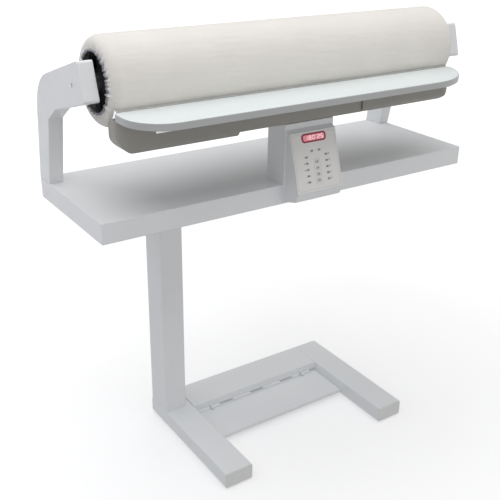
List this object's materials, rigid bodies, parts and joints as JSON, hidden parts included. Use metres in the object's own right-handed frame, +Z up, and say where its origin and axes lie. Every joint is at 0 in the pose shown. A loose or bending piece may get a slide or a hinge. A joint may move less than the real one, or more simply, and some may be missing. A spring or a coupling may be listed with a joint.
{
  "type": "flatwork ironer",
  "caption": "Rotary ironer: a padded roll between two gooseneck arms, a heated shoe that lifts to it, a linen shelf, a tilted console and a column stand with a foot pedal.",
  "frame": {"origin": "on the floor, in the middle of the machine's footprint, 11 mm behind the line straight below the roll's axis", "axes": "+X to the operator's right along the roll, +Y to the back, away from the operator, +Z up"},
  "size_m": [1.0044, 0.438, 1.03],
  "materials": {
    "white_paint": "pale grey-white stove enamel, satin",
    "shoe_paint": "pale warm grey enamel, satin",
    "plate_finish": "pale blue-white moulded feed plate, half gloss",
    "panel_skin": "pale grey control panel skin, matt",
    "cotton_cloth": "cream woven cotton cover",
    "felt_padding": "off-white padding felt",
    "steel": "bare and zinc-plated steel",
    "trough_metal": "polished heated trough",
    "cast_alloy": "sand-cast alloy",
    "cast_iron": "machined grey iron",
    "black_alloy": "black-coated alloy end cap",
    "bush_bronze": "sintered bronze",
    "foot_rubber": "black rubber",
    "grey_plastic": "grey moulded plastic",
    "dark_plastic": "black moulded plastic",
    "display_red": "red tinted display window",
    "lens_grey": "smoke-grey indicator lens",
    "button_grey": "grey-blue push button",
    "board_green": "printed circuit board",
    "motor_paint": "dark grey gearmotor enamel",
    "heater_sheath": "heater sheath"
  },
  "bodies": {
    "stand": {"left_leg": "white_paint", "right_leg": "white_paint", "rear_rail": "white_paint", "column": "white_paint", "leg_end_caps": "grey_plastic", "levelling_feet": "foot_rubber", "pedal_pin": "steel", "pedal_springs": "steel", "pedal_switch": "dark_plastic", "shelf_tray": "white_paint", "shelf_underplate": "white_paint", "shelf_back_beam": "steel", "shelf_front_beam": "steel", "column_mounting_plate": "steel", "cable_gland": "dark_plastic", "left_arm_casing": "white_paint", "right_arm_casing": "white_paint", "left_arm_cover": "white_paint", "right_arm_cover": "white_paint", "left_arm_bracket": "cast_alloy", "right_arm_bracket": "cast_alloy", "left_axle": "steel", "right_axle": "steel", "roll_motor": "motor_paint", "neck_casing": "white_paint", "lift_base_plate": "steel", "guide_rods": "steel", "lift_motor": "motor_paint", "console_housing": "white_paint", "control_panel": "panel_skin", "display_window": "display_red", "indicator_lenses": "lens_grey", "circuit_board": "board_green", "frame_bolts": "steel", "arm_bolts": "steel", "casing_screws": "steel"},
    "roll": {"roll_tube": "steel", "roll_padding": "felt_padding", "roll_cover": "cotton_cloth", "left_end_cap": "black_alloy", "right_end_cap": "black_alloy", "roll_bushes": "bush_bronze", "drive_disc": "cast_alloy"},
    "shoe": {"shoe_trough": "trough_metal", "feed_plate": "plate_finish", "left_under_cover": "shoe_paint", "middle_under_cover": "shoe_paint", "right_under_cover": "shoe_paint", "shoe_cover_screws": "steel", "heater_rods": "heater_sheath", "thermostat": "dark_plastic", "shoe_beam": "steel", "shoe_saddle": "cast_iron", "lift_nut": "bush_bronze"},
    "lift_screw": {"lift_screw": "steel"},
    "pedal": {"pedal_plate": "white_paint"},
    "button_1": {"button_1": "button_grey"},
    "button_2": {"button_2": "button_grey"},
    "button_3": {"button_3": "button_grey"},
    "button_4": {"button_4": "button_grey"}
  },
  "joints": [
    {"name": "roll_spin", "type": "hinge", "parent": "stand", "child": "roll", "pos_m": [0, -0.011, 0.94], "axis": [1, 0, 0], "continuous": true},
    {"name": "shoe_lift", "type": "slide", "parent": "stand", "child": "shoe", "axis": [0, 0, 1], "range_m": [-0.012, 0]},
    {"name": "lift_screw_turn", "type": "hinge", "parent": "stand", "child": "lift_screw", "pos_m": [0, -0.08, 0.76], "axis": [0, 0, 1], "range_deg": [0, 1080]},
    {"name": "pedal_press", "type": "hinge", "parent": "stand", "child": "pedal", "pos_m": [0, 0.059, 0.013], "axis": [1, 0, 0], "range_deg": [0, 3.5], "stiffness_Nm_per_rad": 12, "springref_deg": -6.88, "deforming": ["pedal_springs"]},
    {"name": "button_1_press", "type": "slide", "parent": "stand", "child": "button_1", "axis": [0, 0.9553, -0.2957], "range_m": [0, 0.0008], "stiffness_N_per_m": 1500, "springref_m": -0.0002},
    {"name": "button_2_press", "type": "slide", "parent": "stand", "child": "button_2", "axis": [0, 0.9553, -0.2957], "range_m": [0, 0.0008], "stiffness_N_per_m": 1500, "springref_m": -0.0002},
    {"name": "button_3_press", "type": "slide", "parent": "stand", "child": "button_3", "axis": [0, 0.9553, -0.2957], "range_m": [0, 0.0008], "stiffness_N_per_m": 1500, "springref_m": -0.0002},
    {"name": "button_4_press", "type": "slide", "parent": "stand", "child": "button_4", "axis": [0, 0.9553, -0.2957], "range_m": [0, 0.0008], "stiffness_N_per_m": 1500, "springref_m": -0.0002}
  ],
  "couplings": [
    {"joint": "lift_screw_turn", "follows": "shoe_lift", "rad_per_m": -1570.8}
  ]
}
